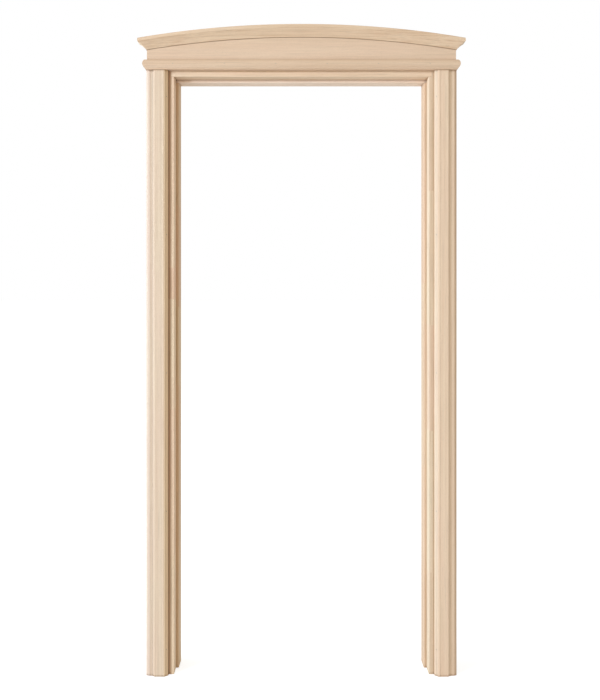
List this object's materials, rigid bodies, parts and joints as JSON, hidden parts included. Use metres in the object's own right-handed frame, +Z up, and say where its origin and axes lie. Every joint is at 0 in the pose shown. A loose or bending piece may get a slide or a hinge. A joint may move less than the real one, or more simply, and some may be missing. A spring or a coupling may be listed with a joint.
{
  "type": "door frame",
  "caption": "Interior door frame in unfinished wood: rebated jambs with planted stops, moulded casings and an arched header with frieze, neck bead and mitred crown.",
  "frame": {"origin": "on the floor, at the middle of the frame's width and depth", "axes": "+X to the right as seen from the casing side, +Y into the wall, +Z up"},
  "size_m": [1.104, 0.1624, 2.207],
  "materials": {
    "wood": "planed and sanded, unfinished",
    "steel": "zinc plated"
  },
  "bodies": {
    "root": {"left_jamb": "wood", "right_jamb": "wood", "head_jamb": "wood", "left_stop": "wood", "right_stop": "wood", "head_stop": "wood", "left_casing": "wood", "right_casing": "wood", "frieze_board": "wood", "neck_bead_front": "wood", "neck_bead_return_left": "wood", "neck_bead_return_right": "wood", "crown_front": "wood", "crown_return_left": "wood", "crown_return_right": "wood", "head_joint_screws": "steel", "stop_nails": "steel", "casing_nails": "steel", "frieze_nails": "steel", "neck_bead_nails": "steel", "crown_nails": "steel"}
  },
  "joints": []
}
